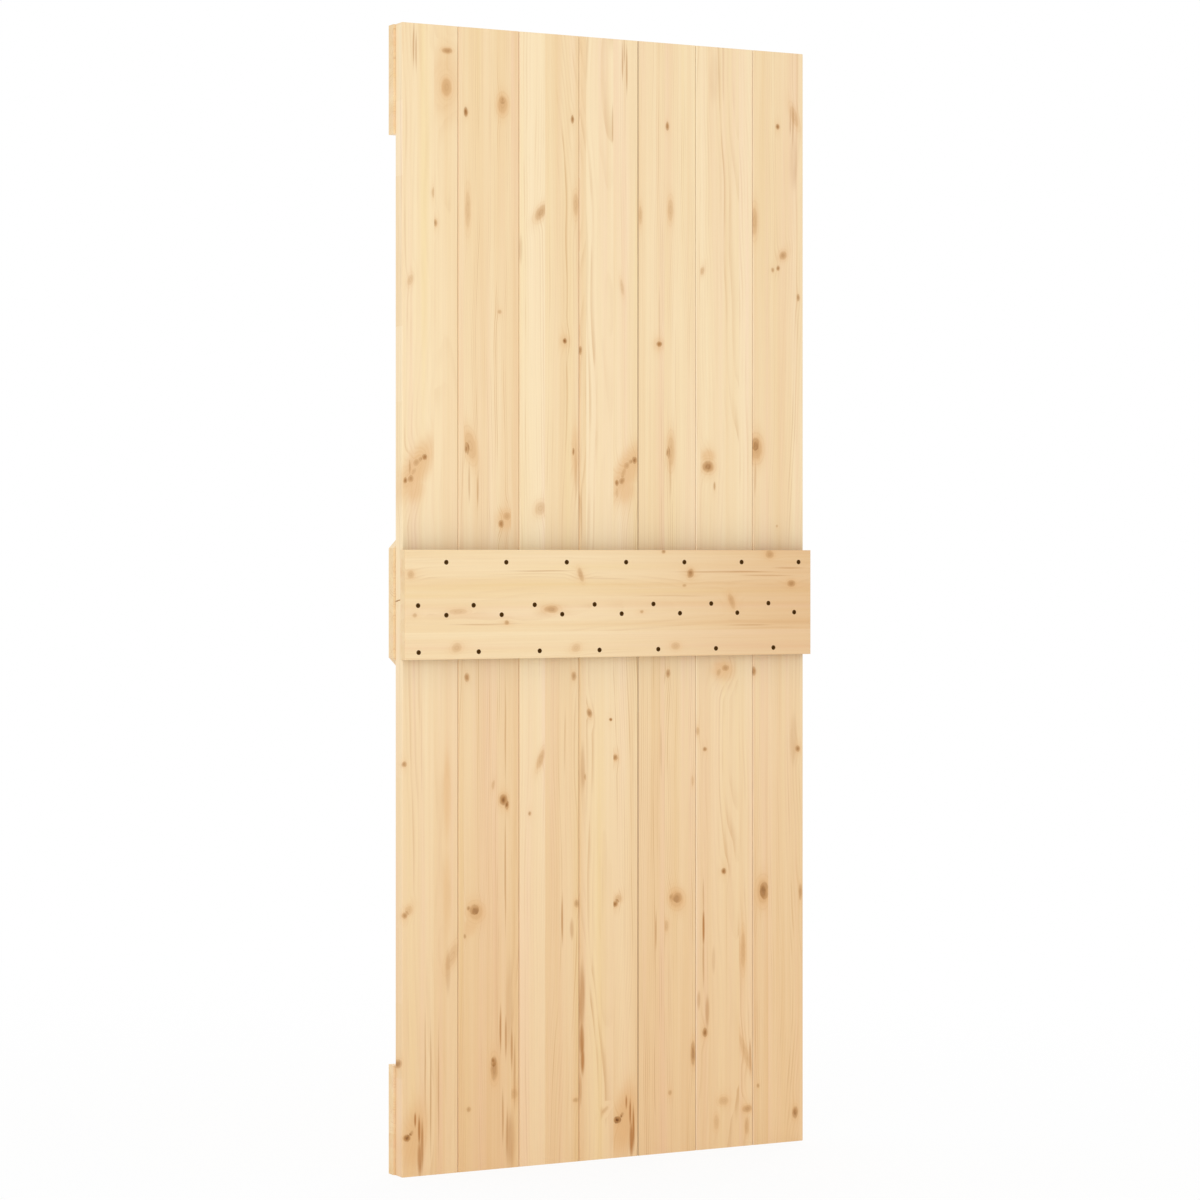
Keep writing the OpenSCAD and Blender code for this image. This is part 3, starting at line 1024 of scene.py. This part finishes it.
steel = bpy.data.materials.new("blackened_steel")
steel.use_nodes = True
steel.node_tree.nodes.clear()
start = Grain(steel.node_tree)
rub = start.node("ShaderNodeTexCoord", out="Object").noise(RUB_MARKS, RUB_DETAIL)
look = {
    "Base Color": rub.ease(*RUBBED_FROM).tint(BLACKENED, RUBBED),
    "Metallic": 1.0,
    "Roughness": STEEL_ROUGH + rub * RUB_ROUGHER,
}
surface = start.node("ShaderNodeBsdfPrincipled", None, look)
start.node("ShaderNodeOutputMaterial", None, {"Surface": surface})

SCREW_SIZES = {
    "Head radius": 4.4 * MM,
    "Shank radius": 2.1 * MM,
    "Head height": 2.1 * MM,
    "Driven below": 0.3 * MM,
    "Shank length": 9.0 * MM,
    "Recess width": 1.1 * MM,
    "Recess length": 4.8 * MM,
    "Recess depth": 1.3 * MM,
}
HEAD_SIDES = 28
SHANK_SIDES = 16
TURN_SEED = 4

tree = bpy.data.node_groups.new("driven_screws", "GeometryNodeTree")
inputs = tree.interface
inputs.new_socket("Geometry", in_out="INPUT", socket_type="NodeSocketGeometry")
for name in SCREW_SIZES:
    inputs.new_socket(name, in_out="INPUT", socket_type="NodeSocketFloat")
inputs.new_socket("Turn seed", in_out="INPUT", socket_type="NodeSocketInt")
inputs.new_socket("Steel", in_out="INPUT", socket_type="NodeSocketMaterial")
inputs.new_socket("Geometry", in_out="OUTPUT", socket_type="NodeSocketGeometry")
inlet = tree.nodes.new("NodeGroupInput")
given = Grain(tree)


def asked(name):
    return Grain(tree, inlet.outputs[name])


def placed(geometry, **sockets):
    return given.node("GeometryNodeTransform", None, {"Geometry": geometry, **sockets})


head_sizes = {
    "Vertices": HEAD_SIDES,
    "Radius Top": asked("Shank radius"),
    "Radius Bottom": asked("Head radius"),
    "Depth": asked("Head height"),
}
head = given.node("GeometryNodeMeshCone", {"fill_type": "NGON"}, head_sizes)
bar_size = given.xyz(asked("Recess length"), asked("Recess width"), asked("Recess depth") * 2.0)
cut = given.node("GeometryNodeMeshBoolean", {"operation": "DIFFERENCE"}, {"Mesh 1": head})
for turn in (0.0, math.pi / 2):
    bar = given.node("GeometryNodeMeshCube", None, {"Size": bar_size})
    bar = placed(bar, Rotation=(0.0, 0.0, turn))
    tree.links.new(bar.socket, cut.socket.node.inputs["Mesh 2"])
shank_sizes = {
    "Vertices": SHANK_SIDES,
    "Radius": asked("Shank radius"),
    "Depth": asked("Shank length"),
}
shank = given.node("GeometryNodeMeshCylinder", {"fill_type": "NGON"}, shank_sizes)
shank_middle = asked("Head height") + asked("Shank length") / 2.0
shank = placed(shank, Translation=given.xyz(0.0, 0.0, shank_middle))
whole = given.node("GeometryNodeJoinGeometry", None, {"Geometry": cut})
tree.links.new(shank.socket, whole.socket.node.inputs["Geometry"])
# The screw is built pointing along +Z from its head, then laid over so that it points along +Y
laid = placed(whole, Rotation=(-math.pi / 2, 0.0, 0.0))
turns = given.node(
    "FunctionNodeRandomValue",
    {"data_type": "FLOAT"},
    {2: 0.0, 3: math.pi, "Seed": asked("Turn seed")},
    out=1,
)
driven = given.node(
    "GeometryNodeInstanceOnPoints",
    None,
    {"Points": asked("Geometry"), "Instance": laid, "Rotation": given.xyz(0.0, turns, 0.0)},
)
driven = given.node(
    "GeometryNodeTranslateInstances",
    None,
    {"Instances": driven, "Translation": given.xyz(0.0, asked("Driven below"), 0.0)},
)
driven = given.node("GeometryNodeRealizeInstances", None, {"Geometry": driven})
finish = {"Geometry": driven, "Material": asked("Steel")}
driven = given.node("GeometryNodeSetMaterial", None, finish)
given.node("NodeGroupOutput", None, {"Geometry": driven})

places_mesh = bpy.data.meshes.new("screw_places")
places_mesh.from_pydata(screw_points, [], [])
places = bpy.data.objects.new("screw_places", places_mesh)
bpy.context.scene.collection.objects.link(places)
driving = places.modifiers.new("driven_screws", "NODES")
driving.node_group = tree
answers = {**SCREW_SIZES, "Turn seed": TURN_SEED, "Steel": steel}
for item in inputs.items_tree:
    if item.name in answers:
        driving[item.identifier] = answers[item.name]
bpy.context.view_layer.update()
grown = places.evaluated_get(bpy.context.evaluated_depsgraph_get())
screw_mesh = bpy.data.meshes.new_from_object(grown)
bpy.data.objects.remove(places)
back_rail_screws = bpy.data.objects.new("back_rail_screws", screw_mesh)
bpy.context.scene.collection.objects.link(back_rail_screws)
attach(back_rail_screws, "root")

# The studio: a pale floor at the door's foot, a white surround, two broad lamps and the camera,
# which stands to the left of the back of the leaf and looks level.

WHITE = (1.0, 1.0, 1.0, 1.0)
PALE_PAPER = (0.92, 0.92, 0.92, 1.0)
FLOOR_REACH = 14.0
SURROUND_LIGHT = 0.86

# Seen directly, the floor keeps some of its own shadow near the door. Its share of plain white goes
# from this to all of it between these two distances from the frame's origin, in metres
WHITE_NEAR = 0.86
SHADOW_NEAR, SHADOW_FAR = 1.2, 4.0

foot = cad_box[0].z
corners = [(-1, -1), (1, -1), (1, 1), (-1, 1)]
floor_mesh = bpy.data.meshes.new("floor")
floor_mesh.from_pydata(
    [(x * FLOOR_REACH, y * FLOOR_REACH, foot) for x, y in corners], [], [(0, 1, 2, 3)]
)
floor = bpy.data.objects.new("floor", floor_mesh)
bpy.context.scene.collection.objects.link(floor)


def looked_at(start, *rays):
    """1 where any of these kinds of ray meets the floor or the surround, 0 elsewhere."""
    outputs = start.node("ShaderNodeLightPath").socket.node.outputs
    met = Grain(start.tree, outputs[rays[0]])
    for ray in rays[1:]:
        met = met.larger(Grain(start.tree, outputs[ray]))
    return met


paper = bpy.data.materials.new("pale_floor")
paper.use_nodes = True
paper.node_tree.nodes.clear()
start = Grain(paper.node_tree)
distance = start.node("ShaderNodeTexCoord", out="Object").far()
whiteness = distance.ease(SHADOW_NEAR, SHADOW_FAR, WHITE_NEAR, 1.0)
whitened = looked_at(start, "Is Camera Ray", "Is Glossy Ray") * whiteness
matt = start.node("ShaderNodeBsdfDiffuse", None, {"Color": PALE_PAPER})
white = start.node("ShaderNodeEmission", None, {"Color": WHITE, "Strength": 1.0})
shown = start.node("ShaderNodeMixShader", None, {0: whitened, 1: matt, 2: white})
start.node("ShaderNodeOutputMaterial", None, {"Surface": shown})
floor_mesh.materials.append(paper)

world = bpy.data.worlds.new("white_surround")
bpy.context.scene.world = world
world.use_nodes = True
world.node_tree.nodes.clear()
start = Grain(world.node_tree)
direct = looked_at(start, "Is Camera Ray", "Is Glossy Ray", "Is Transmission Ray")
strength = direct * (1.0 - SURROUND_LIGHT) + SURROUND_LIGHT
glow = start.node("ShaderNodeBackground", None, {"Color": WHITE, "Strength": strength})
start.node("ShaderNodeOutputWorld", None, {"Surface": glow})


def lamp(name, place, aim, size, power):
    data = bpy.data.lights.new(name, "AREA")
    data.shape = "SQUARE"
    data.size = size
    data.energy = power
    made = bpy.data.objects.new(name, data)
    bpy.context.scene.collection.objects.link(made)
    made.location = place
    x, y, z = [end - begin for end, begin in zip(aim, place)]
    made.rotation_euler = (math.atan2(math.hypot(x, y), -z), 0.0, math.atan2(-x, y))


lamp("room_side_lamp", (-4.0, -4.8, 0.5), aim=(0.15, -0.04, -0.75), size=3.0, power=68.0)
lamp("wall_side_lamp", (3.2, 3.6, 0.9), aim=(0.0, -0.04, -0.8), size=2.6, power=52.0)

# The camera, as worked out from the door's edges in the photograph
CAMERA_PLACE = (-2.994, -5.695, -0.874)
CAMERA_YAW = math.radians(27.8)
SENSOR_WIDTH, LENS, LENS_SHIFT = 36.0, 102.2, -0.035

camera_data = bpy.data.cameras.new("camera")
camera_data.sensor_width = SENSOR_WIDTH
camera_data.lens = LENS
camera_data.shift_y = LENS_SHIFT
camera = bpy.data.objects.new("camera", camera_data)
bpy.context.scene.collection.objects.link(camera)
camera.location = CAMERA_PLACE
camera.rotation_euler = (math.pi / 2, 0.0, -CAMERA_YAW)
bpy.context.scene.camera = camera
bpy.context.scene.view_settings.view_transform = "Standard"
